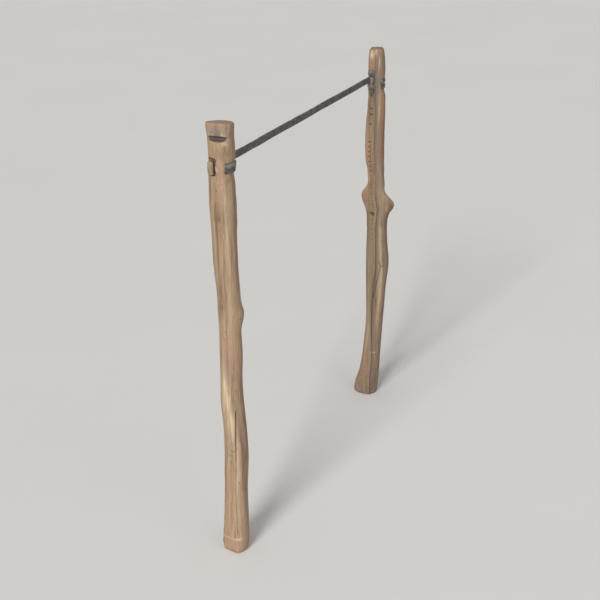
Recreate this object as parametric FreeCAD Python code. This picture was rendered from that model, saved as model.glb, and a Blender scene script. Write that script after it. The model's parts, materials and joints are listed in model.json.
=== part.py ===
import FreeCAD, Part
import math
import os

os.makedirs("parts", exist_ok=True)

# A pair of whittled harvesting sticks joined near their tops by one flat leather strap.
# Millimetres. +X runs from the near stick to the far stick along the strap, +Z is up,
# and the origin is on the ground under the middle of the bounding box. The shapes are built
# about the middle of the strap, then moved by ORIGIN_SHIFT.

# ---- driving dimensions ----
ORIGIN_SHIFT = (-1.99, 5.29)
STICK_LENGTH = 520.0
STICK_SPACING = 412.0
FRONT = 205.4              # way the two bridges face, degrees anticlockwise from +X
SECTION_PITCH = 10.0       # height between the cross-sections a stick is lofted through
SECTION_POINTS = 36
END_HEIGHTS = (3.0, 8.0, 15.0)   # extra cross-sections that round each end

STRAP_WIDTH = 8.4
STRAP_THICKNESS = 2.4
STRAP_HEIGHT = 479.0       # centre line of the free strap above the feet
GAP = 0.3                  # clearance between neighbouring lengths of strap
TUNNEL_CLEARANCE = 0.4     # room round the strap where it passes through a stick
CUT_MARGIN = 6.0           # how far a cutting solid reaches past the surface it cuts
SKEW = 0.92                # the strap meets the far stick on its left, so it runs this far off X

TILT_X = 186.0             # edgewise hinges, each side of the middle
OUTER_FOLD_X = 170.0       # flatwise hinges beside the sticks
INNER_FOLD_X = 18.0        # flatwise hinges beside the middle, where the strap also twists

# height, lean of the centre towards the right of the front, width
NEAR_SHAPE = (
    (0, 0.6, 25.4), (3, 0.7, 28.8), (8, 1.2, 30.6), (16, 1.5, 31.4), (40, 2.3, 29.6),
    (85, 3.1, 26.9), (130, 4.7, 27.6), (170, 4.1, 26.3), (204, 1.9, 25.8), (230, 1.7, 24.4),
    (262, 2.3, 25.2), (292, 2.0, 24.2), (340, 1.3, 25.4), (360, 0.0, 26.0), (400, -0.7, 26.2),
    (410, -0.7, 27.0), (430, -1.0, 28.0), (475, -1.4, 26.2), (498, -1.5, 25.2), (505, -1.4, 25.4),
    (512, -1.9, 27.4), (517, -2.3, 27.8), (520, -2.4, 24.8),
)
FAR_SHAPE = (
    (0, 1.5, 25.6), (3, 1.4, 28.4), (8, 1.4, 30.0), (22, 1.9, 31.0), (46, 4.2, 28.8),
    (70, 5.8, 26.6), (122, 8.2, 25.4), (155, 8.6, 27.4), (217, 7.2, 28.8), (260, 7.4, 29.0),
    (300, 5.6, 26.6), (342, 3.9, 22.8), (372, 1.0, 26.2), (410, 0.3, 26.0), (449, 1.2, 23.4),
    (475, -0.2, 22.0), (500, -1.2, 22.2), (512, -0.6, 21.8), (517, -0.8, 19.2), (520, -0.8, 16.0),
)

# height, direction from the front, swelling, reach upwards, reach downwards, angular reach
NEAR_KNOTS = (
    (309, 90, 3.9, 14, 10, 40),
    (428, -20, 0.8, 9, 9, 30),
    (112, -60, 0.7, 10, 12, 30),
)
FAR_KNOTS = (
    (316, -95, 8.5, 10.5, 17, 28),
    (306, 88, 11.0, 6, 10, 30),
    (296, 88, 5.0, 9, 15, 36),
    (214, 90, 4.6, 26, 32, 55),
    (0, -85, 6.0, 24, 24, 45),
)

# whittled flats: direction from the front, depth below the round, softness of the edges
NEAR_FLAT = (-35.0, 0.7, 0.35)
FAR_FLAT = (-52.0, 2.6, 0.3)
FLAT_SPREAD = 66.0         # no flat reaches further than this to either side

HOOK_HEIGHT = 503.5        # back of the notch under the head of the near stick
HOOK_DIRECTION = -18.0
HOOK_TOP_DEPTH = 2.6       # the head's flat leans in from this depth at the top
HOOK_LIP_DEPTH = 3.8       # to this depth at its lower lip
HOOK_LIP_RISE = 3.0
NOTCH_DEPTH = 6.0
NOTCH_TALL = 2.6
NOTCH_DROP = 2.6           # fall of the notch's lower side out to the round surface
LEDGE_BACK = 22.0          # knife ledge near the foot of the near stick, at the back of the cut
LEDGE_FRONT = 24.5         # and out past the surface
LEDGE_DEPTH = 3.2
LEDGE_FOOT = 5.0           # where the whittled face turns in towards the end
LEDGE_TURN_IN = 2.0
LEDGE_DIRECTION = -30.0

# Blocks set round each joint: direction from the front, sideways offset, height of the bottom,
# distance of the inner face from the stick's centre, then thickness, width and height.
NEAR_BAND_HEIGHTS = (469.9, 479.4)
NEAR_BAND_RADIUS = 12.2    # middle of the strap where it lies flush round the stick
NEAR_TUNNEL_RADIUS = 8.2   # middle of the strap behind the bridge
NEAR_BRIDGE_DIRECTION = -7.0
NEAR_WEDGE = (-52.0, 0.0, 467.4, 10.2, (5.0, 6.8, 14.2))
NEAR_MOUTH = (-49.0, 0.3, 466.6, 9.6, (10.2, 10.2, 18.4))
MOUTH_CORNER = 3.4         # rounding of the hole's four corners

FAR_BAND_RADIUS = 10.9
FAR_TUNNEL_RADIUS = 6.0
FAR_BRIDGE_DIRECTION = 8.0
STRAND_WIDTH = 5.0         # the strap is split in two where it wraps the far stick
STRAND_HEIGHTS = (469.7, 477.2)
FAR_KNOT = (-41.0, 1.0, 461.6, 8.6, (4.6, 6.6, 21.6))
FAR_TAIL = (-38.0, 0.0, 483.8, 8.6, (3.4, 8.8, 7.4))
FAR_WEDGE = (-44.0, -3.3, 461.0, 8.6, (3.2, 2.6, 10.6))
FAR_MOUTH = (-50.0, 0.0, 466.4, 7.2, (6.0, 5.4, 9.5))

# Where the strap comes out from behind the bridge, lies flush and goes in again: direction, and
# height of its middle line above the tunnel's radius. RISE counts from the bridge's direction.
NEAR_RISE = ((14, 0.9), (22, 2.4), (30, 3.7), (42, 4.0))
NEAR_FLUSH = (62, 231, 28)
NEAR_SINK = ((248, 3.4), (272, 1.8), (298, 0.6), (328, 0.0))
FAR_RISE = ((16, 1.4), (32, 4.4))
FAR_FLUSH = (64, 241, 32)
FAR_SINK = ((252, 4.9), (268, 3.9), (284, 2.6), (304, 0.3), (332, 0.0))
FAR_STUB_REACH = 1.9       # how far the strap runs on past the band's nearest point
ROUNDING = 0.38            # rounding of a small piece's edges, as a share of its thickness

MARK_DIRECTION = -50.0     # row of cuts down the flat of the far stick
MARK_SIZE = (1.6, 3.2, 1.3)
MARK_PITCH = 7.0
MARK_LEAN = 24.0
MARK_RANGE = (352.0, 395.0)
SPARSE_MARKS = (419.0, 432.0, 440.0, 457.0)
PEG_HOLE = (291.0, 2.2, 6.0)       # height, radius and depth of the dark hole in the row

UP = FreeCAD.Vector(0, 0, 1)


def point(x, y, z):
    return FreeCAD.Vector(x, y, z)


def place(axis, radius, direction, height):
    """Point at a radius and a direction from the front, about a stick's centre (x, y)."""
    angle = math.radians(FRONT + direction)
    return point(axis[0] + radius * math.cos(angle), axis[1] + radius * math.sin(angle), height)


def between(shape, height, column):
    """Value of one column of a stick's shape at a height, by a smooth curve through the rows."""
    last = len(shape) - 1
    i = max(k for k in range(last) if shape[k][0] <= height or k == 0)
    rows = [shape[max(i - 1, 0)], shape[i], shape[i + 1], shape[min(i + 2, last)]]
    h0, h1, h2, h3 = [row[0] for row in rows]
    v0, v1, v2, v3 = [row[column] for row in rows]
    t = (height - h1) / (h2 - h1)
    m1 = (v2 - v0) / (h2 - h0) * (h2 - h1)
    m2 = (v3 - v1) / (h3 - h1) * (h2 - h1)
    a = 2 * t ** 3 - 3 * t ** 2 + 1
    b = t ** 3 - 2 * t ** 2 + t
    c = 3 * t ** 2 - 2 * t ** 3
    d = t ** 3 - t ** 2
    return a * v1 + b * m1 + c * v2 + d * m2


def turn(angle):
    """An angle brought into -180..180 degrees."""
    return (angle + 180.0) % 360.0 - 180.0


def swelling(knots, height, direction):
    total = 0.0
    for level, heading, size, above, below, spread in knots:
        reach = above if height > level else below
        rise = math.exp(-((height - level) / reach) ** 2)
        total += size * rise * math.exp(-(turn(direction - heading) / spread) ** 2)
    return total


def flattened(radius, flat, direction):
    """Radius of a round stick after one side has been whittled flat."""
    heading, depth, softness = flat
    off = math.radians(turn(direction - heading))
    if abs(off) > math.radians(FLAT_SPREAD):
        return radius
    plane = (radius - depth) / math.cos(off)
    lift = math.sqrt((radius - plane) ** 2 + softness ** 2)
    return 0.5 * (radius + plane - lift) + 0.5 * softness


def stick_axis(side, shape, height):
    lean = between(shape, height, 1)
    right = math.radians(FRONT + 90.0)
    x = side * STICK_SPACING / 2 + lean * math.cos(right)
    return x, lean * math.sin(right)


def even(count):
    """Evenly spread curve parameters, so that every section shares one set of knots."""
    return [k / count for k in range(count + 1)]


def cross_section(side, shape, knots, flat, height):
    axis = stick_axis(side, shape, height)
    width = between(shape, height, 2)
    points = []
    for k in range(SECTION_POINTS):
        direction = 360.0 * k / SECTION_POINTS
        radius = flattened(width / 2, flat, direction) + swelling(knots, height, direction)
        points.append(place(axis, radius, direction, height))
    curve = Part.BSplineCurve()
    curve.interpolate(Points=points, Parameters=even(SECTION_POINTS), PeriodicFlag=True)
    return Part.Wire(curve.toShape())


def section_heights():
    count = round(STICK_LENGTH / SECTION_PITCH)
    regular = [STICK_LENGTH * k / count for k in range(2, count - 1)]
    top = [STICK_LENGTH - h for h in END_HEIGHTS]
    return sorted([0.0, STICK_LENGTH] + list(END_HEIGHTS) + regular + top)


def stick_blank(side, shape, knots, flat):
    wires = [cross_section(side, shape, knots, flat, h) for h in section_heights()]
    return Part.makeLoft(wires, True, False, False)


def prism_on(axis, direction, outline, breadth):
    """Solid whose (radius, height) outline is spread sideways about a direction."""
    middle = math.radians(FRONT + direction)
    side = point(-math.sin(middle), math.cos(middle), 0)
    corners = [place(axis, r, direction, h) - side * (breadth / 2) for r, h in outline]
    face = Part.Face(Part.makePolygon(corners + corners[:1]))
    return face.extrude(side * breadth)


def closed_path(axis, stops):
    """Closed curve through (direction, radius) stops at height 0."""
    curve = Part.BSplineCurve()
    curve.interpolate([place(axis, r, d, 0) for d, r in stops], PeriodicFlag=True)
    return curve


def beside(curve, offset, count=48):
    """The closed curve moved outwards by an offset, as a filled face."""
    points = []
    first, last = curve.FirstParameter, curve.LastParameter
    for k in range(count):
        t = first + (last - first) * k / count
        tangent = curve.tangent(t)[0]
        points.append(curve.value(t) + tangent.cross(UP) * offset)
    edge = Part.BSplineCurve()
    edge.interpolate(points, PeriodicFlag=True)
    return Part.Face(Part.Wire(edge.toShape()))


def band(curve, thickness, bottom, top):
    outer = beside(curve, thickness / 2)
    inner = beside(curve, -thickness / 2)
    ring = outer.extrude(UP * (top - bottom)).cut(inner.extrude(UP * (top - bottom)))
    ring.translate(UP * bottom)
    return ring


def strip(start, end):
    """Straight length of strap between two distances along X, square at both ends."""
    corner = point(start, -STRAP_THICKNESS / 2, STRAP_HEIGHT - STRAP_WIDTH / 2)
    return Part.makeBox(end - start, STRAP_THICKNESS, STRAP_WIDTH, corner)


def fold_end(x):
    """Rounded end that turns about a vertical line."""
    base = point(x, 0, STRAP_HEIGHT - STRAP_WIDTH / 2)
    return Part.makeCylinder(STRAP_THICKNESS / 2, STRAP_WIDTH, base, UP)


def tilt_end(x):
    """Rounded end that turns about a line across the strap."""
    base = point(x, -STRAP_THICKNESS / 2, STRAP_HEIGHT)
    return Part.makeCylinder(STRAP_WIDTH / 2, STRAP_THICKNESS, base, point(0, 1, 0))


def block(size):
    """Block standing on z = 0, centred in x and y."""
    thick, wide, tall = size
    return Part.makeBox(thick, wide, tall, point(-thick / 2, -wide / 2, 0))


def set_on(shape, axis, radius, direction, height, lean=0.0):
    """Turns a shape to face a direction and puts its centre line at a radius on a stick."""
    shape.rotate(point(0, 0, 0), point(1, 0, 0), lean)
    shape.rotate(point(0, 0, 0), UP, FRONT + direction)
    shape.translate(place(axis, radius, direction, height))
    return shape


def small_piece(layout, axis, rounded=True):
    direction, aside, height, inner, size = layout
    shape = block(size)
    if rounded:
        shape = shape.makeFillet(ROUNDING * size[0], shape.Edges)
    shape.translate(point(0, aside, 0))
    return set_on(shape, axis, inner + size[0] / 2, direction, height)


def near_mouth(axis):
    """Hole beside the bridge, with rounded corners, that the wedge is driven into."""
    direction, aside, height, inner, size = NEAR_MOUTH
    hole = block(size)
    along = [e for e in hole.Edges if abs(e.tangentAt(e.FirstParameter).x) > 0.9]
    hole = hole.makeFillet(MOUTH_CORNER, along)
    hole.translate(point(0, aside, 0))
    return set_on(hole, axis, inner + size[0] / 2, direction, height)


def strap_lengths():
    """The free length of strap from the near tab to the far tab, which mirror each other."""
    knuckle = STRAP_THICKNESS / 2 + GAP
    tab = strip(-TILT_X, -OUTER_FOLD_X).fuse([tilt_end(-TILT_X), fold_end(-OUTER_FOLD_X)])
    run = strip(-OUTER_FOLD_X + knuckle, -INNER_FOLD_X).fuse(fold_end(-INNER_FOLD_X))
    middle = strip(-INNER_FOLD_X + knuckle, -GAP / 2)
    lengths = {}
    for name, shape in (("tab", tab), ("run", run), ("middle", middle)):
        near = shape.removeSplitter()
        lengths["far_" + name] = skewed(near.mirror(point(0, 0, 0), point(1, 0, 0)))
        lengths["near_" + name] = skewed(near)
    return lengths


def skewed(shape):
    """Turns a length of strap about the near edgewise hinge, so that it lies along the strap."""
    shape.rotate(point(-TILT_X, 0, 0), UP, SKEW)
    return shape


def stub(start, side):
    """Square end of the strap between a stick and its edgewise hinge."""
    reach = TILT_X + STRAP_WIDTH / 2 + GAP
    if side < 0:
        return skewed(strip(-start, -reach))
    return skewed(strip(reach, start))


def stub_seat(start, side):
    """Room cut in a stick for the end of a stub."""
    seat = stub(start, side)
    spare = TUNNEL_CLEARANCE
    box = seat.BoundBox
    corner = point(box.XMin - spare, box.YMin - spare, box.ZMin - spare)
    return Part.makeBox(box.XLength, box.YLength + 2 * spare, box.ZLength + 2 * spare, corner)


def wrapped_path(axis, bridge, deep, flush, rise, lying, sink):
    """Middle line of the strap round a stick: buried behind the bridge and flush elsewhere."""
    stops = [(bridge, deep)]
    stops += [(bridge + past, deep + up) for past, up in rise]
    stops += [(direction, flush) for direction in range(*lying)]
    stops += [(direction, deep + up) for direction, up in sink]
    return closed_path(axis, stops)


def near_path(axis):
    return wrapped_path(axis, NEAR_BRIDGE_DIRECTION, NEAR_TUNNEL_RADIUS, NEAR_BAND_RADIUS,
                        NEAR_RISE, NEAR_FLUSH, NEAR_SINK)


def far_path(axis):
    return wrapped_path(axis, FAR_BRIDGE_DIRECTION, FAR_TUNNEL_RADIUS, FAR_BAND_RADIUS,
                        FAR_RISE, FAR_FLUSH, FAR_SINK)


def near_hook(axis, radius):
    """Head flat with an undercut notch below it."""
    outer = radius + CUT_MARGIN
    above = STICK_LENGTH + CUT_MARGIN
    drop = HOOK_HEIGHT - NOTCH_DROP
    outline = [
        (radius - HOOK_TOP_DEPTH, above),
        (radius - HOOK_LIP_DEPTH, HOOK_HEIGHT + HOOK_LIP_RISE),
        (radius - NOTCH_DEPTH, HOOK_HEIGHT + NOTCH_TALL),
        (radius - NOTCH_DEPTH, HOOK_HEIGHT),
        (radius, drop),
        (outer, drop),
        (outer, above),
    ]
    return prism_on(axis, HOOK_DIRECTION, outline, 4 * radius)


def near_ledge(axis, radius):
    """Whittled face below the ledge, turned in at the foot."""
    outer = radius + CUT_MARGIN
    outline = [
        (radius - LEDGE_DEPTH, LEDGE_BACK),
        (radius - LEDGE_DEPTH, LEDGE_FOOT),
        (radius - LEDGE_DEPTH - LEDGE_TURN_IN, 0),
        (radius - LEDGE_DEPTH - LEDGE_TURN_IN, -CUT_MARGIN),
        (outer, -CUT_MARGIN),
        (outer, LEDGE_FRONT),
    ]
    return prism_on(axis, LEDGE_DIRECTION, outline, 4 * radius)


def marks(shape):
    """Cross-cuts down the flat of the far stick, with one round hole below them."""
    count = int((MARK_RANGE[1] - MARK_RANGE[0]) / MARK_PITCH) + 1
    heights = [MARK_RANGE[0] + k * MARK_PITCH for k in range(count)] + list(SPARSE_MARKS)
    tools = []
    for k, height in enumerate(heights):
        axis = stick_axis(1, shape, height)
        face = between(shape, height, 2) / 2 - FAR_FLAT[1]
        lean = MARK_LEAN * (-1) ** k
        tools.append(set_on(block(MARK_SIZE), axis, face, MARK_DIRECTION, height, lean))
    return tools + [peg_hole(shape)]


def peg_hole(shape):
    height, radius, depth = PEG_HOLE
    axis = stick_axis(1, shape, height)
    face = between(shape, height, 2) / 2 - FAR_FLAT[1]
    start = place(axis, face - depth, MARK_DIRECTION, height)
    outward = place((0, 0), 1, MARK_DIRECTION, 0)
    return Part.makeCylinder(radius, depth + CUT_MARGIN, start, outward)


def tunnel(path, bottom, top):
    spare = TUNNEL_CLEARANCE
    return band(path, STRAP_THICKNESS + 2 * spare, bottom - spare, top + spare)


def near_parts():
    axis = stick_axis(-1, NEAR_SHAPE, STRAP_HEIGHT)
    path = near_path(axis)
    low, high = NEAR_BAND_HEIGHTS
    start = STICK_SPACING / 2 - NEAR_BAND_RADIUS
    loop = band(path, STRAP_THICKNESS, low, high).fuse(stub(start, -1)).removeSplitter()

    hook_axis = stick_axis(-1, NEAR_SHAPE, HOOK_HEIGHT)
    hook = near_hook(hook_axis, between(NEAR_SHAPE, HOOK_HEIGHT, 2) / 2)
    foot_axis = stick_axis(-1, NEAR_SHAPE, LEDGE_BACK)
    ledge = near_ledge(foot_axis, between(NEAR_SHAPE, LEDGE_BACK, 2) / 2)
    mouth = near_mouth(axis)
    blank = stick_blank(-1, NEAR_SHAPE, NEAR_KNOTS, NEAR_FLAT)
    stick = blank.cut([tunnel(path, low, high), stub_seat(start, -1), mouth, hook, ledge])
    return {"near_stick": stick, "near_loop": loop, "near_wedge": small_piece(NEAR_WEDGE, axis)}


def far_parts():
    axis = stick_axis(1, FAR_SHAPE, STRAP_HEIGHT)
    path = far_path(axis)
    half = STRAND_WIDTH / 2
    lower, upper = [band(path, STRAP_THICKNESS, z - half, z + half) for z in STRAND_HEIGHTS]
    opening = tunnel(path, STRAND_HEIGHTS[0] - half, STRAND_HEIGHTS[1] + half)
    mouth = small_piece(FAR_MOUTH, axis, rounded=False)
    blank = stick_blank(1, FAR_SHAPE, FAR_KNOTS, FAR_FLAT)
    stick = blank.cut([opening, mouth] + marks(FAR_SHAPE))

    end = stub(STICK_SPACING / 2 - FAR_BAND_RADIUS + FAR_STUB_REACH, 1)
    knot = small_piece(FAR_KNOT, axis).cut(stick).fuse(end).removeSplitter()
    return {
        "far_stick": stick,
        "far_wrap_lower": lower,
        "far_wrap_upper": upper,
        "far_knot": knot,
        "far_tail": small_piece(FAR_TAIL, axis).cut(stick),
        "far_wedge": small_piece(FAR_WEDGE, axis),
    }


def main():
    nodes = near_parts()
    nodes.update(strap_lengths())
    nodes.update(far_parts())
    for name, shape in nodes.items():
        shape.translate(point(*ORIGIN_SHIFT, 0))
        shape.exportStep("parts/" + name + ".step")


main()
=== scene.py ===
import json
import math

import bpy
import numpy as np
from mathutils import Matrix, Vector, noise


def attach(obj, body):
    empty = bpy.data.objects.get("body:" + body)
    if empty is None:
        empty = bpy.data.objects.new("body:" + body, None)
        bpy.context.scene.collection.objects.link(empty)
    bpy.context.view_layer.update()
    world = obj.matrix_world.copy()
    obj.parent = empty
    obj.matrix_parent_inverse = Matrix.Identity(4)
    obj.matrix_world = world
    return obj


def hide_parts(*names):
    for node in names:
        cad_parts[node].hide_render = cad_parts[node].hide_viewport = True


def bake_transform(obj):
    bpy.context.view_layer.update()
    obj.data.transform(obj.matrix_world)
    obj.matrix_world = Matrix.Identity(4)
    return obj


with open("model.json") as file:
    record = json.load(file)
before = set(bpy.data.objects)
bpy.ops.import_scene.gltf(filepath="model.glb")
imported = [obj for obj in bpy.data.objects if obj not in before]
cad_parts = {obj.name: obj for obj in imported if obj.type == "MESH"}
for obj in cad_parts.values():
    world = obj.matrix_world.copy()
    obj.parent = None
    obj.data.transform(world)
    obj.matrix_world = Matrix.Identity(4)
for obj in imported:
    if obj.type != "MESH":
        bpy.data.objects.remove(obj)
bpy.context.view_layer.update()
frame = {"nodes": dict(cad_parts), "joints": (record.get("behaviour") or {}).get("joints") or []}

# The looks of two peeled and whittled sticks joined by one leather strap. Shapes are worked out
# in millimetres about each stick's middle line: "height" above the ground, "direction" in degrees
# from the front towards the right, and "aside" to the right of the middle line as seen from the
# front. The front is the side on which both sticks have their long cracks.

MM = 0.001
FRONT = 205.4               # the way the front faces, degrees anticlockwise from +X
STICK_VOXEL = 0.7
SMALL_VOXEL = 0.5


# ---- small tools ----

def smooth(value, low, high):
    """0 below low, 1 above high and a smooth rise between."""
    share = np.clip((value - low) / (high - low), 0.0, 1.0)
    return share * share * (3.0 - 2.0 * share)


def fall(value, low, high):
    """1 below low, 0 above high and a smooth fall between."""
    return 1.0 - smooth(value, low, high)


def window(value, low, high, edge=0.6):
    """1 between two limits, with soft edges."""
    return smooth(value, low - edge, low + edge) * fall(value, high - edge, high + edge)


def turn(angle):
    """Angles brought into -180..180 degrees."""
    return (angle + 180.0) % 360.0 - 180.0


def points_of(mesh):
    """Vertices of a mesh in millimetres."""
    flat = np.empty(len(mesh.vertices) * 3)
    mesh.vertices.foreach_get("co", flat)
    return flat.reshape(-1, 3) / MM


def normals_of(mesh):
    """Outward direction at each vertex of a mesh."""
    flat = np.empty(len(mesh.vertices) * 3)
    mesh.vertex_normals.foreach_get("vector", flat)
    return flat.reshape(-1, 3)


def move_points(mesh, points):
    """Puts the vertices of a mesh at places in millimetres."""
    mesh.vertices.foreach_set("co", (points * MM).ravel())
    mesh.update()


def store(mesh, name, values):
    """Keeps one number for each vertex, for the material to read."""
    layer = mesh.attributes.new(name, "FLOAT", "POINT")
    layer.data.foreach_set("value", np.asarray(values, np.float32))


def store_rest(mesh):
    """Keeps each vertex's place at rest, so that a texture stays on a piece that bends."""
    layer = mesh.attributes.new("rest", "FLOAT_VECTOR", "POINT")
    layer.data.foreach_set("vector", (points_of(mesh) * MM).astype(np.float32).ravel())


def rough(points, size, stretch=(1.0, 1.0, 1.0), seed=0.0):
    """Smooth random numbers of about -1..1 at each point, in lumps of a size in millimetres."""
    scaled = points / (np.array(stretch) * size) + seed
    return np.array([noise.noise(Vector(p)) for p in scaled])


def add_object(name, mesh, material):
    mesh.shade_smooth()
    mesh.materials.clear()
    mesh.materials.append(material)
    made = bpy.data.objects.new(name, mesh)
    bpy.context.scene.collection.objects.link(made)
    return made


def remeshed(node, voxel):
    """Even-faced copy of a CAD node's mesh."""
    copy = bpy.data.objects.new(node + "_copy", frame["nodes"][node].data.copy())
    bpy.context.scene.collection.objects.link(copy)
    remesh = copy.modifiers.new("even", "REMESH")
    remesh.mode = "VOXEL"
    remesh.voxel_size = voxel * MM
    graph = bpy.context.evaluated_depsgraph_get()
    mesh = bpy.data.meshes.new_from_object(copy.evaluated_get(graph))
    bpy.data.objects.remove(copy)
    return mesh


# ---- measures about a stick's middle line ----

class Stick:
    """A stick's middle line, and each point's height, direction, radius and offset to the right."""

    step = 10.0
    spare = 30.0                # the whittled ends are left out of the fit
    allowed = (3.0, 1.0, 0.7)   # how far from round a point may lie, in each pass of the fit

    def __init__(self, points):
        self.length = points[:, 2].max()
        self.levels = np.arange(self.spare, self.length - self.spare, self.step)
        circles = np.array([self.circle(points, level) for level in self.levels])
        kernel = np.array([1.0, 2.0, 1.0]) / 4.0
        padded = np.vstack([circles[:1], circles, circles[-1:]])
        self.circles = sum(k * padded[i:i + len(circles)] for i, k in enumerate(kernel))
        self.measure(points)

    def circle(self, points, level):
        """Centre and radius of the round that fits the stick best, leaving out knots and flats."""
        slab = points[np.abs(points[:, 2] - level) < self.step / 2][:, :2]
        for allowed in self.allowed:
            system = np.column_stack([2 * slab, np.ones(len(slab))])
            x, y, rest = np.linalg.lstsq(system, (slab ** 2).sum(1), rcond=None)[0]
            radius = math.sqrt(rest + x * x + y * y)
            off = np.abs(np.hypot(slab[:, 0] - x, slab[:, 1] - y) - radius)
            slab = slab[off < allowed]
        return x, y, radius

    def at(self, height):
        """Centre and radius of the round at each height."""
        return [np.interp(height, self.levels, self.circles[:, k]) for k in range(3)]

    def measure(self, points):
        """Keeps where each point lies about the middle line."""
        self.height = points[:, 2]
        x, y, self.round = self.at(self.height)
        dx, dy = points[:, 0] - x, points[:, 1] - y
        self.direction = turn(np.degrees(np.arctan2(dy, dx)) - FRONT)
        self.radius = np.hypot(dx, dy)
        self.aside = self.radius * np.sin(np.radians(self.direction))
        self.outward = np.column_stack([dx, dy]) / np.maximum(self.radius, 1e-6)[:, None]
        self.stray = [
            0.5 * rough(points, 7.0, (1, 1, 2), 6.6),
            0.5 * rough(points, 6.0, (1, 1, 3), 3.3),
        ]

    def stem(self):
        """1 along the stem and 0 on the whittled ends."""
        return smooth(self.height, 20, 45) * fall(self.height, self.length - 50, self.length - 30)

    def front(self):
        """1 on the half that faces the front."""
        return smooth(np.cos(np.radians(self.direction)), 0.0, 0.2)


SECTOR = 15.0           # degrees
TOP_DEPTH = 58.0        # from a stick's top down to where even_top starts
TOP_MARGIN = 5.0        # from the top down to where its rounded end starts


def even_top(stick, normals, points, kept):
    """Replaces waves down the top of a stick by one smooth curve in each sector of directions."""
    low, high = stick.length - TOP_DEPTH, stick.length - TOP_MARGIN
    middle = (low + high) / 2
    outer = skin(stick, normals)
    good = (stick.height > low) & (stick.height < high) & (outer > 0.6)
    curves = []
    for heading in np.arange(-180.0, 180.0, SECTOR):
        near = good & (np.abs(turn(stick.direction - heading)) < SECTOR)
        curves.append(np.polyfit(stick.height[near] - middle, stick.radius[near], 2))
    curves = np.array(curves)
    place = (stick.direction + 180.0) / SECTOR
    first = np.floor(place).astype(int) % len(curves)
    share = (place - np.floor(place))[:, None]
    mixed = (1 - share) * curves[first] + share * curves[(first + 1) % len(curves)]
    up = stick.height - middle
    target = mixed[:, 0] * up ** 2 + mixed[:, 1] * up + mixed[:, 2]
    zone = smooth(stick.height, low - 6, low + 6) * fall(stick.height, high + 2, stick.length)
    shift = (target - stick.radius) * zone * outer * (1 - kept)
    points[:, :2] += stick.outward * shift[:, None]
    return points


# gentle bulges and hollows of the tops: height, direction, size, reach and spread
NEAR_BULGES = ((488, 88, 2.2, 18, 42),)
FAR_BULGES = ((489, 95, 1.7, 14, 45), (519, 95, -2.0, 9, 60), (521, -85, -1.9, 8, 50))


def bulge(height, direction, rows):
    """How far out the bulges and hollows push each place, in millimetres."""
    total = np.zeros(len(height))
    for level, heading, size, reach, spread in rows:
        up, across = (height - level) / reach, turn(direction - heading) / spread
        total += size * np.exp(-up ** 2 - across ** 2)
    return total


def patches(stick, spots):
    """Strength of the strongest of some soft patches: height, direction, reach, spread, strength."""
    total = np.zeros(len(stick.height))
    for height, direction, reach, spread, strength in spots:
        up = (stick.height - height) / reach + stick.stray[0]
        across = turn(stick.direction - direction) / spread + stick.stray[1]
        total = np.maximum(total, strength * np.exp(-up ** 2 - across ** 2))
    return total


def beside_line(stick, stops):
    """Distance to the right of a line through (height, aside) stops, listed from the foot up."""
    heights, asides = np.array(stops, float).T
    return stick.aside - np.interp(stick.height, heights, asides)


def line_strength(stick, stops, fade=6.0):
    """1 along a line on the front, fading out at its two ends."""
    low, high = stops[0][0], stops[-1][0]
    inside = smooth(stick.height, low - 1, low + fade) * fall(stick.height, high - fade, high + 1)
    return inside * stick.front()


# ---- relief of the sticks ----

def knife_facets(stick, seed, count, depth):
    """Depth that some long strokes of a knife take off, each no deeper than a depth."""
    random = np.random.default_rng(seed)
    taken = np.zeros(len(stick.height))
    for _ in range(count):
        middle, heading = random.uniform(0, stick.length), random.uniform(-180, 180)
        half, most = random.uniform(18, 60), depth * random.uniform(0.4, 1.0)
        fade = np.clip(1.0 - ((stick.height - middle) / half) ** 2, 0.0, 1.0)
        across = np.cos(np.radians(turn(stick.direction - heading)))
        plane = (stick.round - most * np.sqrt(fade)) / np.maximum(across, 0.5)
        stroke = np.clip(stick.radius - plane, 0.0, most) * (fade > 0) * (across > 0.5)
        taken = np.maximum(taken, stroke)
    return taken


def thin_cracks(stick, seed, count, depth):
    """Depth and darkness of short drying cracks, a third of which run in from the two ends."""
    random = np.random.default_rng(seed)
    dark = np.zeros(len(stick.height))
    for k in range(count):
        length = random.uniform(12, 70)
        middle = random.uniform(0, stick.length)
        if k % 3 == 0:
            middle = random.choice([length * 0.3, stick.length - length * 0.3])
        heading, lean = random.uniform(-180, 180), random.uniform(-0.05, 0.05)
        off = turn(stick.direction - heading - lean * (stick.height - middle))
        across = np.radians(off) * stick.round / 0.45
        along = np.clip(1.0 - (2 * (stick.height - middle) / length) ** 2, 0.0, 1.0)
        dark = np.maximum(dark, along * np.exp(-across ** 2))
    return dark * depth, dark


def skin(stick, normals):
    """1 on the outer skin of a stick, 0 inside its slots and on its ends."""
    facing = (normals[:, :2] * stick.outward).sum(1)
    return smooth(facing, 0.35, 0.75) * smooth(stick.radius / stick.round, 0.72, 0.82)


# lines of the long cracks: height and aside of each bend, from the foot up
NEAR_CRACK = ((26, 2.6), (42, 1.8), (90, 0.2), (140, 0.3), (161, 0.6), (199, 4.2))
FAR_GROOVE = (
    (0, 1.6), (43, 0.1), (77, -1.5), (110, -4.7), (142, -5.7), (175, -5.7), (207, -3.4), (236, -3.0),
    (292, -2.7), (346, -2.0), (400, -1.5), (461, -2.9), (493, -2.7), (516, -3.7),
)
FAR_FORK = ((162, -5.2), (179, -2.2), (198, 1.2), (214, 4.0))
FAR_TWIG = ((212, 4.0), (222, 0.5))

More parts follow.
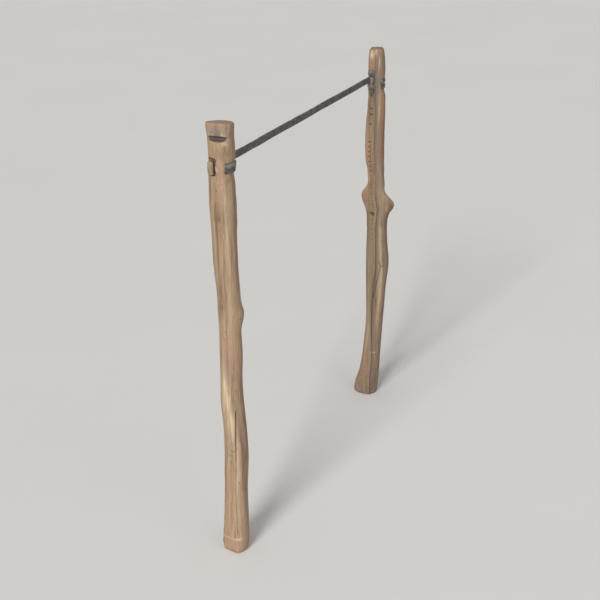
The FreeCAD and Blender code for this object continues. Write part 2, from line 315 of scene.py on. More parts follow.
# small dark cuts on the far stick: height, aside, half length, half width and lean in degrees
FAR_CUTS = [(352 + 7 * k, -8.0, 2.0, 0.9, 24 * (-1) ** k) for k in range(7)]
FAR_CUTS += [(355.5 + 7 * k, -6.6, 1.5, 0.6, -24 * (-1) ** k) for k in range(6)]
FAR_CUTS += [(h, -7.6, 1.8, 0.9, 24) for h in (419, 432, 440, 457)]
FAR_CUTS += [(301 + 4.4 * k, -8.4, 0.8, 0.7, 0) for k in range(11)]
FAR_CUTS += [(h, -8.2, 0.9, 0.8, 0) for h in (253, 261, 268, 276, 283)]
FAR_CUTS += [(291, -8.3, 1.6, 3.4, 0), (212.6, 6.4, 2.2, 0.5, 6)]


def small_cuts(stick, rows):
    """Strength of small cuts, each an oval with its length across the stick."""
    total = np.zeros(len(stick.height))
    for height, aside, length, width, lean in rows:
        up, right = stick.height - height, stick.aside - aside
        cos_lean, sin_lean = math.cos(math.radians(lean)), math.sin(math.radians(lean))
        along = (right * cos_lean + up * sin_lean) / length
        across = (up * cos_lean - right * sin_lean) / width
        total = np.maximum(total, np.exp(-along ** 4 - across ** 4))
    return total * stick.front()


def ripples(points, seed):
    """Height of the fine waves that follow the grain."""
    fine = 0.07 * rough(points, 3.0, (1, 1, 14), seed)
    return fine + 0.09 * rough(points, 9.0, (1, 1, 6), seed + 5)


# The near notch and the left mouth of the near slot get painted shade inside them.
NOTCH_SHADE = (501.8, 507.2)    # heights of the dark inside of the near notch
MOUTH_SHADE = (465.0, 487.0)    # heights of the dark inside of the near slot's left mouth
MOUTH_EDGE = -14.0              # its right edge, in degrees
RING_PLACE = (149.0, -3.2)      # height and aside of a small ring knot
RING_SIZE = (5.0, 4.2)          # its half height and half width
CALM = 0.9                      # share of the small cracks that is left off the front
INSET = 0.1                     # taken off everywhere, to keep the ripples within the CAD


def ring_knot(stick):
    """Strength of the ring knot's outline, which is fainter in places."""
    up, right = stick.height - RING_PLACE[0], stick.aside - RING_PLACE[1]
    ring = np.hypot(up / RING_SIZE[0], right / RING_SIZE[1])
    strength = 0.5 + 0.15 * smooth(stick.stray[0], -0.15, 0.2)
    return strength * np.exp(-((ring - 1.0) / 0.22) ** 2) * stick.front()


def near_relief(stick, normals, points):
    """Depth to take off the near stick, and the numbers that its material reads."""
    taken = knife_facets(stick, 11, 70, 0.4) * stick.stem()
    cracks, dark = thin_cracks(stick, 12, 16, 0.35)
    calm = 1.0 - CALM * stick.front()
    line = beside_line(stick, NEAR_CRACK)
    open_part = smooth(stick.height, 151, 160)      # the crack is faint below the ring knot
    strong = line_strength(stick, NEAR_CRACK) * (0.33 + 0.67 * open_part)
    groove = strong * 0.9 * np.exp(-(line / 0.7) ** 2)
    shelf = strong * 0.35 * smooth(line, -0.2, 0.6) * fall(line, 0.6, 5.0)
    below = stick.round - stick.radius
    # painted shade inside the notch and the slot's left mouth
    notch = smooth(below, 0.5, 1.6) * window(stick.height, *NOTCH_SHADE) * stick.front()
    left = stick.direction < MOUTH_EDGE
    mouth = smooth(below, 1.2, 2.2) * window(stick.height, *MOUTH_SHADE) * left
    values = {
        "crack": np.maximum(dark * calm, ring_knot(stick)),
        "line": line / 10.0,
        "near_line": strong * np.exp(-(line / 2.5) ** 2),
        # painted shade beside the long crack
        "shade": 0.35 * strong * smooth(line, -0.5, 0.2) * fall(line, 0.4, 3.0),
        "hollow": np.maximum(notch, 0.8 * mouth),
    }
    relief = taken + cracks * calm + groove + shelf - ripples(points, 3.1) + INSET
    return relief * skin(stick, normals), values


def branch(stick, stops):
    """Strength of a thin crack that leaves a longer one."""
    return line_strength(stick, stops, 2.0) * np.exp(-(beside_line(stick, stops) / 0.6) ** 2)


def far_relief(stick, normals, points):
    """Depth to take off the far stick, and the numbers that its material reads."""
    taken = knife_facets(stick, 21, 60, 0.35) * stick.stem()
    cracks, dark = thin_cracks(stick, 22, 16, 0.35)
    calm = 1.0 - CALM * stick.front()
    line = beside_line(stick, FAR_GROOVE)
    strong = line_strength(stick, FAR_GROOVE)
    sharp = 0.35 + 0.65 * fall(stick.height, 250, 330)
    channel = strong * 0.6 * smooth(line, -0.9, 0.6) * fall(line, 0.8, 5.6)
    branches = np.maximum(branch(stick, FAR_FORK), branch(stick, FAR_TWIG))
    cuts = small_cuts(stick, FAR_CUTS)
    values = {
        "crack": np.maximum.reduce([dark * calm, branches, cuts]),
        "line": line / 10.0,
        "near_line": strong * sharp * np.exp(-(line / 2.5) ** 2),
        # painted shade in the channel beside the groove
        "shade": strong * smooth(line, -0.9, 0.6) * fall(line, 2.0, 5.0),
        "hollow": np.zeros(len(line)),
    }
    relief = taken * (1 - 0.8 * strong * np.exp(-(line / 6.0) ** 2)) + cracks * calm + channel
    relief = relief + 0.6 * branches + 0.5 * cuts - ripples(points, 5.5) + INSET
    return relief * skin(stick, normals), values


def head_flat(stick):
    """1 in the directions that the near stick's whittled head covers."""
    return smooth(np.cos(np.radians(stick.direction + 15.0)), 0.42, 0.6)


def nowhere(stick):
    """0 all over the stick."""
    return np.zeros(len(stick.height))


def slope_end(stick, points, drop):
    """Lowers the back of a stick's top, which was cut with a slope."""
    back = -stick.radius * np.cos(np.radians(stick.direction)) / stick.round
    top = smooth(stick.height, stick.length - 20, stick.length)
    points[:, 2] -= drop * smooth(back, -0.3, 1.0) * top
    return points


def tones(stick, normals, spots):
    """Strength of each tone of the wood, and of its cut ends and the painted shade in the insides of its
    slots.
    """
    values = {name: patches(stick, rows) for name, rows in spots.items()}
    values["end"] = smooth(np.abs(normals[:, 2]), 0.75, 0.95)
    # painted shade, darker the further a place lies in from the round of the stick
    inside = 1.0 - smooth(stick.radius / stick.round, 0.6, 0.85)
    values["inside"] = inside * (1 - values["end"])
    return values


# the patches of each tone: height, direction, reach up and down, spread in degrees, and strength
NEAR_TONES = {
    # pale wood and painted highlights on lit lips, edges and streaks
    "pale_and_highlight": (
        (228, -38, 20, 11, 0.9), (206, -20, 22, 14, 1.0), (180, -10, 26, 15, 1.0),
        (120, 10, 60, 12, 0.5), (400, 12, 50, 14, 0.4), (150, -30, 40, 12, 0.5),
        (300, -30, 26, 10, 0.5), (508, 14, 3, 9, 0.8), (500, 20, 2.5, 10, 0.9),
        (505, 34, 12, 6, 0.5), (330, 2, 40, 9, 0.4), (22.5, -60, 1.6, 30, 1.2),
        (21.6, -20, 1.6, 24, 1.2), (22.6, 10, 1.8, 14, 1.5), (474, -16, 2.5, 5, 0.7),
        (404, 2, 4, 4, 0.7),
    ),
    "pink": (
        (517, -20, 3.4, 60, 1.0), (508.5, -30, 2.4, 30, 0.8), (466, 0, 18, 14, 1.0),
        (266, 5, 26, 44, 1.0), (243, -40, 9, 24, 0.8), (225, 14, 16, 18, 0.8), (151, 0, 5, 12, 1.0),
        (12, -30, 9, 60, 0.9), (80, -5, 60, 50, 0.55), (350, 62, 60, 16, 0.5),
        (160, 55, 40, 16, 0.5), (519, 0, 2.5, 300, 0.9),
    ),
    # brown marks and bark, and painted shade on the right flank and beside the head's flat
    "brown_and_shade": (
        (511, 31, 8, 4, 0.8), (422, -20, 4, 14, 0.8), (322, -35, 4, 12, 0.9), (138, -29, 2, 7, 0.8),
        (129, -27, 2, 7, 0.7), (131, 55, 9, 10, 0.6), (340, -40, 22, 12, 0.4),
        (100, 60, 20, 9, 0.5), (400, 66, 120, 14, 0.6), (250, 70, 120, 14, 0.5),
        (470, 60, 40, 12, 0.4),
    ),
    "yellow": (
        (490, -50, 12, 14, 0.9), (440, -5, 30, 10, 0.5), (80, -50, 50, 16, 0.5),
        (300, 50, 50, 12, 0.4),
    ),
    "grey": (
        (511.5, -22, 6.5, 58, 1.3), (247, -28, 8, 20, 0.7), (470, -25, 18, 24, 0.3),
        (200, 26, 26, 12, 0.4),
    ),
    # darker patches beside the slot's left mouth and just below the band
    "dark_patch": (
        (483, -48, 4, 16, 0.7), (461, 30, 3, 14, 0.5),
    ),
}
FAR_TONES = {
    # pale wood and painted highlights on lit chamfers, edges and strips
    "pale_and_highlight": (
        (514, -50, 6, 32, 1.3), (500, 14, 9, 5, 0.9), (435, 12, 18, 5, 0.9), (240, 14, 50, 10, 0.6),
        (190, 20, 30, 11, 0.9), (316, 60, 14, 26, 0.8), (72.6, 5, 1.0, 24, 0.9),
        (150, 14, 30, 10, 0.8), (110, -60, 60, 14, 0.4), (344, -80, 10, 20, 0.4),
    ),
    "pink": (
        (500, -42, 8, 24, 1.2), (380, -50, 30, 26, 0.6), (430, 45, 40, 16, 0.8),
        (45, -40, 25, 20, 0.6), (375, 60, 14, 20, 0.8), (517, 10, 3, 60, 0.8),
        (330, -70, 50, 24, 0.4),
    ),
    # brown marks, and painted shade on the right flank
    "brown_and_shade": (
        (456, -42, 3, 10, 0.7), (290, 62, 30, 22, 0.8), (395, 60, 60, 14, 0.6),
        (160, 60, 60, 20, 0.6), (240, 70, 60, 16, 0.6),
    ),
    "yellow": (
        (430, -44, 30, 16, 0.7), (250, -50, 120, 30, 0.6), (318, 75, 10, 30, 0.8),
        (30, 40, 30, 40, 0.3),
    ),
    "grey": (
        (470, 2, 60, 12, 0.9), (380, 2, 60, 10, 0.9), (300, 0, 60, 10, 0.6), (80, 2, 40, 10, 0.5),
        (30, 22, 30, 16, 0.5), (470, -50, 12, 30, 0.5),
    ),
    # a darker patch beside the slot's mouth
    "dark_patch": (
        (470, -14, 14, 6, 0.4),
    ),
}


# ---- materials ----

def colour(red, green, blue):
    """Screen colour of 0..255 as the linear colour that a shader takes."""
    values = [c / 255.0 for c in (red, green, blue)]
    return [c / 12.92 if c < 0.04045 else ((c + 0.055) / 1.055) ** 2.4 for c in values] + [1.0]


class Shader:
    """A material's node tree, with one short call for each kind of node."""

    def __init__(self, name):
        self.material = bpy.data.materials.new(name)
        self.material.use_nodes = True
        self.tree = self.material.node_tree
        self.surface = self.tree.nodes["Principled BSDF"]

    def put(self, socket, value):
        if isinstance(value, bpy.types.NodeSocket):
            self.tree.links.new(value, socket)
        else:
            socket.default_value = value

    def node(self, kind, values, **settings):
        made = self.tree.nodes.new("ShaderNode" + kind)
        for key, value in settings.items():
            setattr(made, key, value)
        for key, value in values.items():
            self.put(made.inputs[key], value)
        return made

    def attribute(self, name, output="Fac"):
        return self.node("Attribute", {}, attribute_name=name).outputs[output]

    def scaled(self, source, scale, shift=(0.0, 0.0, 0.0)):
        return self.node("Mapping", {"Vector": source, "Scale": scale, "Location": shift}).outputs[0]

    def noise(self, source, scale, detail=3.0, roughness=0.55, distortion=0.0):
        values = {"Vector": source, "Scale": scale, "Detail": detail}
        values.update({"Roughness": roughness, "Distortion": distortion})
        return self.node("TexNoise", values).outputs["Fac"]

    def math(self, operation, a, b=0.0, clamp=False):
        return self.node("Math", {0: a, 1: b}, operation=operation, use_clamp=clamp).outputs[0]

    def rise(self, value, low, high, bottom=0.0, top=1.0):
        values = {"Value": value, "From Min": low, "From Max": high, "To Min": bottom, "To Max": top}
        return self.node("MapRange", values, interpolation_type="SMOOTHSTEP").outputs[0]

    def mix(self, share, a, b, blend="MIX"):
        made = self.node("Mix", {}, data_type="RGBA", blend_type=blend)
        for index, value in ((0, share), (6, a), (7, b)):
            self.put(made.inputs[index], value)
        return made.outputs[2]

    def laid_on(self, base, name, strength, shade):
        """Lays a colour on another one as strongly as a mesh's stored numbers say."""
        return self.mix(self.math("MULTIPLY", self.attribute(name), strength), base, shade)

    def ramp(self, value, stops):
        made = self.node("ValToRGB", {"Fac": value})
        elements = made.color_ramp.elements
        while len(elements) < len(stops):
            elements.new(0.5)
        for element, (place, shade) in zip(elements, stops):
            element.position = place
            element.color = shade
        return made.outputs["Color"]

    def bump(self, height, strength, depth, below=None):
        values = {"Height": height, "Strength": strength, "Distance": depth}
        if below is not None:
            values["Normal"] = below
        return self.node("Bump", values).outputs["Normal"]

    def finish(self, base, roughness, normal, **others):
        self.put(self.surface.inputs["Base Color"], base)
        self.put(self.surface.inputs["Roughness"], roughness)
        self.put(self.surface.inputs["Normal"], normal)
        for name, value in others.items():
            self.put(self.surface.inputs[name.replace("_", " ")], value)
        return self.material


# colours as a screen shows them
WOOD_DARK = colour(46, 36, 32)
PAINTED_CRACK_SHADE = colour(104, 90, 80)
DARK_PATCH = colour(96, 84, 80)
HOLLOW_SHADE = colour(80, 66, 62)
SLOT_SHADE = colour(78, 66, 58)
NEAR_WOOD = {
    "grain": (colour(126, 101, 80), colour(158, 131, 104), colour(172, 147, 118), colour(186, 163, 134)),
    "yellow": colour(172, 144, 98),
    "pink": colour(180, 143, 122),
    "grey": colour(152, 137, 125),
    "pale_and_highlight": colour(226, 206, 172),
    "brown_and_shade": colour(104, 78, 66),
}
FAR_WOOD = {
    "grain": (colour(112, 92, 74), colour(138, 117, 96), colour(152, 130, 106), colour(166, 144, 119)),
    "yellow": colour(150, 134, 98),
    "pink": colour(178, 126, 92),
    "grey": colour(127, 111, 103),
    "pale_and_highlight": colour(222, 196, 156),
    "brown_and_shade": colour(104, 78, 62),
}


def wood(name, shades, shift):
    """Peeled wood with its grain up the stick. Scales are in waves to a metre."""
    nodes = Shader(name)
    place = nodes.attribute("rest", "Vector")
    along = nodes.scaled(place, (1.0, 1.0, 0.035), (shift, 0.0, shift))
    streaks = nodes.noise(along, 330.0, 5.0, 0.6, 0.4)
    broad = nodes.noise(nodes.scaled(place, (1.0, 1.0, 0.16), (0.0, shift, 0.0)), 60.0, 3.0, 0.5)
    fibres = nodes.noise(nodes.scaled(place, (1.0, 1.0, 0.022), (0.0, 0.0, shift)), 2400.0, 4.0, 0.7)
    grain = nodes.noise(nodes.scaled(place, (1.0, 1.0, 0.25)), 1500.0, 2.0, 0.6)

    # the colour of the grain, then the patches of other tones, of which the pale one is partly painted
    # highlights and the brown one partly painted shade
    spread = nodes.math("ADD", nodes.math("MULTIPLY", streaks, 0.62), nodes.math("MULTIPLY", broad, 0.38))
    stops = list(zip((0.0, 0.38, 0.7, 1.0), shades["grain"]))
    base = nodes.ramp(nodes.rise(spread, 0.32, 0.68), stops)
    uneven = nodes.rise(nodes.noise(along, 210.0, 4.0, 0.65), 0.3, 0.7, 0.35, 1.0)
    for tone in ("yellow", "pink", "grey", "pale_and_highlight", "brown_and_shade"):
        share = nodes.math("MULTIPLY", nodes.attribute(tone), uneven, clamp=True)
        base = nodes.mix(share, base, shades[tone])

    # annual rings on the cut ends
    waves = {"Vector": place, "Scale": 260.0, "Distortion": 3.0, "Detail": 2.0, "Detail Scale": 1.4}
    rings = nodes.node("TexWave", waves, wave_type="RINGS", rings_direction="Z").outputs["Fac"]
    ring_shade = nodes.mix(nodes.rise(rings, 0.2, 0.9), shades["grain"][0], shades["grain"][2])
    base = nodes.laid_on(base, "end", 0.45, ring_shade)

    # fibres, fine dark checks and pores
    fibre_shade = nodes.ramp(fibres, ((0.25, colour(205, 200, 196)), (0.62, colour(255, 255, 255))))
    base = nodes.mix(1.0, base, fibre_shade, "MULTIPLY")
    checks = nodes.noise(nodes.scaled(place, (1.0, 1.0, 0.02), (shift, shift, 0.0)), 900.0, 2.0, 0.5)
    base = nodes.mix(nodes.rise(checks, 0.70, 0.76, 0.0, 0.55), base, shades["brown_and_shade"])
    cells = {"Vector": nodes.scaled(place, (1.0, 1.0, 0.5)), "Scale": 110.0, "Randomness": 1.0}
    pores = nodes.node("TexVoronoi", cells).outputs["Distance"]
    base = nodes.mix(nodes.rise(pores, 0.13, 0.05, 0.0, 0.6), base, shades["brown_and_shade"])

    # the long crack and the painted shade beside it, darker patches, painted shade in the hollows and the
    # insides of slots, and the short cracks
    gap = nodes.math("ABSOLUTE", nodes.attribute("line"))
    near = nodes.rise(nodes.attribute("near_line"), 0.05, 0.6)
    sharp = nodes.math("MULTIPLY", nodes.rise(gap, 0.065, 0.02), near)
    base = nodes.mix(nodes.math("MULTIPLY", sharp, 0.85), base, WOOD_DARK)
    # painted shade beside the long crack and in the far stick's channel
    base = nodes.laid_on(base, "shade", 0.5, PAINTED_CRACK_SHADE)
    # darker patches near the strap's joints
    base = nodes.laid_on(base, "dark_patch", 0.6, DARK_PATCH)
    # painted shade inside the near notch and the near slot's mouth
    base = nodes.laid_on(base, "hollow", 0.9, HOLLOW_SHADE)
    base = nodes.mix(nodes.rise(nodes.attribute("crack"), 0.2, 0.9, 0.0, 0.8), base, WOOD_DARK)
    # painted shade in slots and other places sunk below the round
    base = nodes.laid_on(base, "inside", 0.7, SLOT_SHADE)

    gloss = nodes.math("MULTIPLY", nodes.attribute("pale_and_highlight"), 0.08)
    polish = nodes.math("SUBTRACT", nodes.rise(streaks, 0.3, 0.7, 0.5, 0.64), gloss)
    normal = nodes.bump(fibres, 0.35, 0.0004)
    normal = nodes.bump(grain, 0.2, 0.0003, normal)
    normal = nodes.bump(sharp, 0.6, -0.0008, normal)
    return nodes.finish(base, polish, normal, Specular_IOR_Level=0.35)


def leather(name):
    """Dull grey leather, drawn out along the strap and rubbed paler on its edges."""
    nodes = Shader(name)
    place = nodes.attribute("rest", "Vector")
    blotches = nodes.noise(place, 160.0, 4.0, 0.6)
    fine = nodes.noise(place, 1100.0, 4.0, 0.65)
    drawn = nodes.noise(nodes.scaled(place, (0.12, 1.0, 1.0)), 900.0, 3.0, 0.6)
    stops = ((0.0, colour(68, 63, 64)), (0.5, colour(88, 82, 82)), (1.0, colour(108, 102, 100)))
    base = nodes.ramp(nodes.rise(blotches, 0.3, 0.7), stops)
    base = nodes.mix(nodes.rise(drawn, 0.55, 0.75, 0.0, 0.5), base, colour(126, 122, 112))
    base = nodes.mix(nodes.rise(fine, 0.5, 0.3, 0.0, 0.5), base, colour(52, 49, 46))
    base = nodes.laid_on(base, "wear", 0.6, colour(140, 136, 126))
    pores = nodes.node("TexVoronoi", {"Vector": place, "Scale": 1300.0}).outputs["Distance"]
    normal = nodes.bump(pores, 0.3, 0.0002)
    normal = nodes.bump(fine, 0.4, 0.0004, normal)
    normal = nodes.bump(drawn, 0.3, 0.0003, normal)
    roughness = nodes.rise(blotches, 0.3, 0.7, 0.58, 0.78)
    return nodes.finish(base, roughness, normal, Specular_IOR_Level=0.4)


def peg_material(name):
    """Plain yellowish wood with short grain."""
    nodes = Shader(name)
    place = nodes.attribute("rest", "Vector")
    streaks = nodes.noise(nodes.scaled(place, (1.0, 1.0, 0.12)), 700.0, 4.0, 0.6)
    stops = ((0.0, colour(112, 96, 72)), (0.5, colour(142, 125, 98)), (1.0, colour(170, 154, 126)))
    base = nodes.ramp(nodes.rise(streaks, 0.3, 0.7), stops)
    base = nodes.laid_on(base, "wear", 0.3, colour(150, 128, 104))
    return nodes.finish(base, 0.6, nodes.bump(streaks, 0.4, 0.0005), Specular_IOR_Level=0.3)


def floor_material(name):
    nodes = Shader(name)
    place = nodes.node("TexCoord", {}).outputs["Object"]
    mottle = nodes.noise(place, 3.0, 4.0, 0.6)
    base = nodes.mix(mottle, colour(216, 214, 210), colour(222, 220, 216))
    normal = nodes.bump(nodes.noise(place, 400.0), 0.05, 0.001)
    return nodes.finish(base, 0.8, normal, Specular_IOR_Level=0.2)


# ---- the sticks ----

def make_stick(node, relief_of, kept, bulges, slope, spots, shades, shift):
    """Makes the wood that stands for a CAD stick, and returns its measures.

    relief_of gives the depth to take off, kept says where even_top leaves the shape alone, and slope
    is how far the back of the top is lowered. Both sticks are named after the bodies they ride on.
    """
    mesh = remeshed(node, STICK_VOXEL)
    points, normals = points_of(mesh), normals_of(mesh)
    stick = Stick(points)
    points = even_top(stick, normals, points, kept(stick))
    swell = bulge(stick.height, stick.direction, bulges) * skin(stick, normals)
    points[:, :2] += stick.outward * swell[:, None]
    relief, values = relief_of(stick, normals, points)
    move_points(mesh, slope_end(stick, points - normals * relief[:, None], slope))
    store_rest(mesh)
    values.update(tones(stick, normals, spots))
    for name, numbers in values.items():
        store(mesh, name, numbers)
    made = add_object(node + "_wood", mesh, wood(node + "_wood", shades, shift))
    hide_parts(node)
    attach(made, node)
    return stick


near_wood = make_stick(
    "near_stick", near_relief, kept=head_flat, bulges=NEAR_BULGES, slope=2.2,
    spots=NEAR_TONES, shades=NEAR_WOOD, shift=0.0,
)
make_stick(
    "far_stick", far_relief, kept=nowhere, bulges=FAR_BULGES, slope=0.8,
    spots=FAR_TONES, shades=FAR_WOOD, shift=0.7,
)


# ---- the line of the strap ----

def hinge_place(name):
    """Place of a joint at rest, in millimetres."""
    return np.array(next(j for j in frame["joints"] if j["name"] == name)["pos_m"]) / MM


NEAR_HINGE, FAR_HINGE = hinge_place("near_tilt"), hinge_place("far_tilt")
STRAP_MIDDLE = (NEAR_HINGE + FAR_HINGE) / 2
ALONG = (FAR_HINGE - NEAR_HINGE) / np.linalg.norm(FAR_HINGE - NEAR_HINGE)
ACROSS = np.array([-ALONG[1], ALONG[0], 0.0])
UP = np.array([0.0, 0.0, 1.0])
STRAP_WIDTH = 8.4
STRAP_THICKNESS = 2.4


# ---- the joints: leather wrapped round the sticks, and their wooden wedges ----

STUB_REACH = 192.6              # from the strap's middle to where the free strap hides the stubs
STUB_SHARE = 0.55               # of a stub's section that is left
BAND_RISE = ((7, 3.2), (15, 1.7), (23, 0.45), (35, 0.15), (180, 0.15))   # direction and lift
BAND_START = (16, 19)           # degrees over which the band comes out from behind the bridge
BAND_REACH = 15.0               # from the stick's middle to just outside the band
TAIL_WAY = FRONT - 142.0        # the way the far tail is widened, degrees anticlockwise from +X
TAIL_STRETCH = 0.22
# the near band's paler top edge is partly wear and partly a painted highlight
WORN_LIT_RIM = (5.0, 4.2)                # how far below the near band's top its worn edge starts


def thin_stub(points):
    """Draws in the stub between a band and the strap, so that it hides inside the strap."""
    offset = points - STRAP_MIDDLE
    along = (offset * ALONG).sum(1)
    inner = (np.abs(along) < STUB_REACH) & (np.abs((offset * ACROSS).sum(1)) < STRAP_THICKNESS)
    on_line = STRAP_MIDDLE + along[:, None] * ALONG
    return np.where(inner[:, None], on_line + STUB_SHARE * (points - on_line), points)


def raised_band(points):
    """Lifts the near band clear of the wood, up to where it goes in behind the bridge."""
    x, y, _ = [float(value) for value in near_wood.at(STRAP_MIDDLE[2])]
    dx, dy = points[:, 0] - x, points[:, 1] - y
    radius = np.hypot(dx, dy)
    direction = turn(np.degrees(np.arctan2(dy, dx)) - FRONT)
    lift = np.interp(np.abs(direction), *np.array(BAND_RISE, float).T) * smooth(direction, *BAND_START)
    lift = (lift + bulge(points[:, 2], direction, NEAR_BULGES)) * (radius < BAND_REACH)
    return points + np.column_stack([dx / radius, dy / radius, 0 * dx]) * lift[:, None]


def widened(points):
    """Stretches the far tail to the left, along the flat that it lies on."""
    way = np.array([math.cos(math.radians(TAIL_WAY)), math.sin(math.radians(TAIL_WAY)), 0.0])
    across = points @ way
    return points + TAIL_STRETCH * (across - across.min())[:, None] * way


def make_small(node, material, body, lumps, reshape=None, worn_and_lit_rim=False):
    """Makes the uneven piece that stands for a small CAD node."""
    mesh = remeshed(node, SMALL_VOXEL)
    points, normals = points_of(mesh), normals_of(mesh)
    swell = lumps * (rough(points, 4.0, seed=1.7) + 0.5 * rough(points, 1.6, seed=4.4))
    points = thin_stub(points + normals * (swell - 0.3 * lumps)[:, None])
    if reshape:
        points = reshape(points)
    move_points(mesh, points)
    store_rest(mesh)
    wear = smooth(rough(points, 5.0, seed=9.0), -0.1, 0.5)
    # the near band's top edge is painted paler, partly as wear and partly as a painted highlight
    if worn_and_lit_rim:
        top = points[:, 2].max()
        wear = np.maximum(wear, smooth(points[:, 2], top - WORN_LIT_RIM[0], top - WORN_LIT_RIM[1]))
    store(mesh, "wear", wear)
    made = add_object(node + "_piece", mesh, material)
    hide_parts(node)
    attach(made, body)


LEATHER = leather("strap_leather")
PEG = peg_material("peg_wood")
make_small("near_loop", LEATHER, "near_stick", 0.25, raised_band, worn_and_lit_rim=True)
for node in ("far_wrap_lower", "far_wrap_upper", "far_knot"):
    make_small(node, LEATHER, "far_stick", 0.12)
make_small("far_tail", LEATHER, "far_stick", 0.12, widened)
make_small("near_wedge", PEG, "near_stick", 0.2)
make_small("far_wedge", PEG, "far_stick", 0.15)


# ---- the free strap, in lengths that each cross one joint ----

RING_POINTS = 28
RING_PITCH = 0.9
CORNER = 0.45               # how square the strap's section is: 1 is round, 0 is sharp

# name, where it starts and ends along the strap from its middle, the two bodies that it joins, how
# far the bend reaches each way from the joint between them, and the node that the piece stands for
STRAP_PIECES = (
    ("strap_near_tilt", -195.0, -178, ("near_stick", "near_tab"), 5, "near_tab"),
    ("strap_near_fold", -178, -100, ("near_tab", "near_run"), 7, "near_run"),
    ("strap_near_bend", -100, -9, ("near_run", "strap_middle"), 9, "near_middle"),
    ("strap_twist_part", -9, 9, ("strap_middle", "far_middle"), 9, "far_middle"),
    ("strap_far_bend", 9, 100, ("far_middle", "far_run"), 9, "far_run"),
    ("strap_far_fold", 100, 178, ("far_run", "far_tab"), 7, "far_tab"),
    ("strap_far_tilt", 178, 196.9, ("far_tab", "far_stick"), 5, None),
)


def drift(x, wavelength, seed):
    """Slow change along the strap, of about -1..1."""
    random = np.random.default_rng(seed)
    total = np.zeros_like(x)
    for k in range(1, 5):
        total += np.sin(2 * np.pi * x * k / wavelength + random.uniform(0, 6.3)) / k
    return total / 2.0


def strap_rings(x):
    """Rings of points round the strap at distances x from its middle, and how near an edge each is."""
    angles = 2 * np.pi * np.arange(RING_POINTS) / RING_POINTS
    cosine, sine = np.cos(angles), np.sin(angles)
    flat_y = np.sign(cosine) * np.abs(cosine) ** CORNER
    flat_z = np.sign(sine) * np.abs(sine) ** CORNER

    # a hand-cut strip is a little uneven in width, thickness, lean and line
    width = STRAP_WIDTH / 2 * (0.96 + 0.035 * drift(x, 90.0, 1))
    thick = STRAP_THICKNESS / 2 * (0.95 + 0.08 * drift(x, 60.0, 2))
    lean = np.radians(3.0) * drift(x, 170.0, 3)
    side, rise = thick[:, None] * flat_y, width[:, None] * flat_z
    cos_lean, sin_lean = np.cos(lean)[:, None], np.sin(lean)[:, None]
    across = side * cos_lean - rise * sin_lean + (0.25 * drift(x, 120.0, 4))[:, None]
    upward = side * sin_lean + rise * cos_lean + (0.2 * drift(x, 140.0, 5))[:, None]
    along = np.broadcast_to(x[:, None], across.shape)

    rings = STRAP_MIDDLE + along[..., None] * ALONG
    rings = rings + across[..., None] * ACROSS + upward[..., None] * UP
    return rings, np.broadcast_to(np.abs(flat_z) ** 6, across.shape)


def tube_faces(count, n):
    """Faces between count + 1 rings of n points, with the two end caps last."""
    faces = []
    for i in range(count):
        for k in range(n):
            following = (k + 1) % n
            faces.append((i * n + k, (i + 1) * n + k, (i + 1) * n + following, i * n + following))
    faces.append(tuple(range(n)))
    faces.append(tuple(count * n + k for k in reversed(range(n))))
    return faces


def strap_piece(name, start, end, bodies, reach, node):
    """Makes one length of the free strap, across the joint between two bodies."""
    count = max(int((end - start) / RING_PITCH), 4)
    rings, edge = strap_rings(np.linspace(start, end, count + 1))
    mesh = bpy.data.meshes.new(name)
    mesh.from_pydata((rings.reshape(-1, 3) * MM).tolist(), [], tube_faces(count, RING_POINTS))
    mesh.update()
    store_rest(mesh)
    store(mesh, "wear", edge.ravel() * smooth(rough(points_of(mesh), 7.0, seed=2.2), -0.3, 0.4))
    made = add_object(name, mesh, LEATHER)
    for cap in mesh.polygons[-2:]:
        cap.use_smooth = False
    if node:
        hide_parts(node)
    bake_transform(made)


for piece in STRAP_PIECES:
    strap_piece(*piece)


# ---- stage, light and camera ----

STAGE_REACH = 14.0         # metres from the middle to an edge of the floor
CAMERA_PLACE = (-1.0350, -0.4797, 0.7746)
CAMERA_HEADING = 25.78     # degrees anticlockwise from +X
CAMERA_DIP = 25.11         # degrees below level
CAMERA_LENS = 59.72        # millimetres, on a sensor of the width below
CAMERA_SENSOR = 36.0


def make_stage():
    mesh = bpy.data.meshes.new("floor")
    r = STAGE_REACH
    mesh.from_pydata([(-r, -r, 0), (r, -r, 0), (r, r, 0), (-r, r, 0)], [], [(0, 1, 2, 3)])
    add_object("floor", mesh, floor_material("studio_floor"))


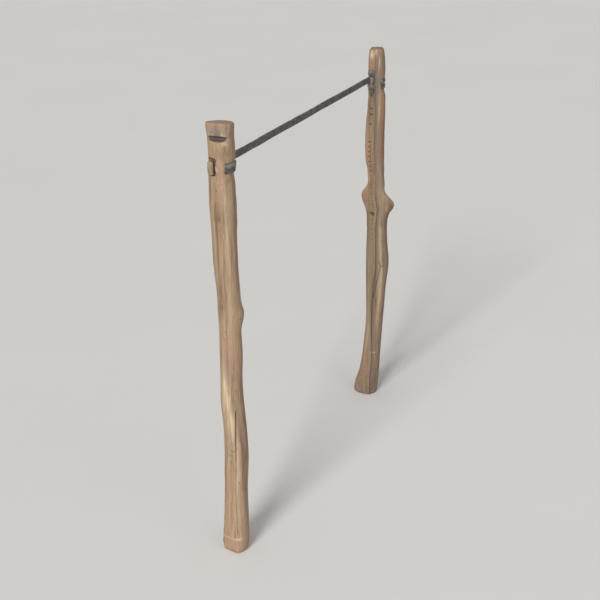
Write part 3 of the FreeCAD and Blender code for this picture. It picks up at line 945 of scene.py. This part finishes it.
def sky(strength, seen_strength):
    """Even light from all round, and the tone in which the camera sees it."""
    world = bpy.data.worlds.new("studio")
    world.use_nodes = True
    tree = world.node_tree
    back = tree.nodes["Background"]
    back.inputs["Color"].default_value = colour(236, 236, 238)
    seen = tree.nodes.new("ShaderNodeLightPath").outputs["Is Camera Ray"]
    level = tree.nodes.new("ShaderNodeMapRange")
    level.inputs["To Min"].default_value = strength
    level.inputs["To Max"].default_value = seen_strength
    tree.links.new(seen, level.inputs["Value"])
    tree.links.new(level.outputs["Result"], back.inputs["Strength"])
    bpy.context.scene.world = world


def sun(name, tilt, around, power, softness):
    """Light that shines straight down, then is tilted about X and turned about Z, in degrees.

    softness is how wide the sun looks, in radians.
    """
    data = bpy.data.lights.new(name, "SUN")
    data.energy = power
    data.angle = softness
    made = bpy.data.objects.new(name, data)
    made.rotation_euler = (math.radians(tilt), 0.0, math.radians(around))
    bpy.context.scene.collection.objects.link(made)


def lamp(name, place, target, size, power):
    """A soft round lamp that points at a target, in metres and watts."""
    data = bpy.data.lights.new(name, "AREA")
    data.shape = "DISK"
    data.size = size
    data.energy = power
    made = bpy.data.objects.new(name, data)
    made.location = place
    made.rotation_mode = "QUATERNION"
    made.rotation_quaternion = (Vector(target) - Vector(place)).to_track_quat("-Z", "Y")
    bpy.context.scene.collection.objects.link(made)


def make_camera():
    """The camera at the viewing place, level across and dipped towards the object."""
    heading, dip = math.radians(CAMERA_HEADING), math.radians(CAMERA_DIP)
    ahead = Vector((math.cos(heading), math.sin(heading), 0.0))
    look = ahead * math.cos(dip) - Vector((0, 0, 1)) * math.sin(dip)
    data = bpy.data.cameras.new("camera")
    data.sensor_width = CAMERA_SENSOR
    data.lens = CAMERA_LENS
    data.clip_start, data.clip_end = 0.05, 60.0
    camera = bpy.data.objects.new("camera", data)
    camera.location = CAMERA_PLACE
    camera.rotation_mode = "QUATERNION"
    camera.rotation_quaternion = look.to_track_quat("-Z", "Y")
    bpy.context.scene.collection.objects.link(camera)
    bpy.context.scene.camera = camera


make_stage()
sky(strength=0.5, seen_strength=0.8)
sun("key", tilt=-58, around=90, power=2.6, softness=0.35)
lamp("fill", place=(-0.9, -1.9, 1.0), target=(0, 0, 0.25), size=1.6, power=5)
make_camera()
bpy.context.scene.view_settings.view_transform = "Standard"
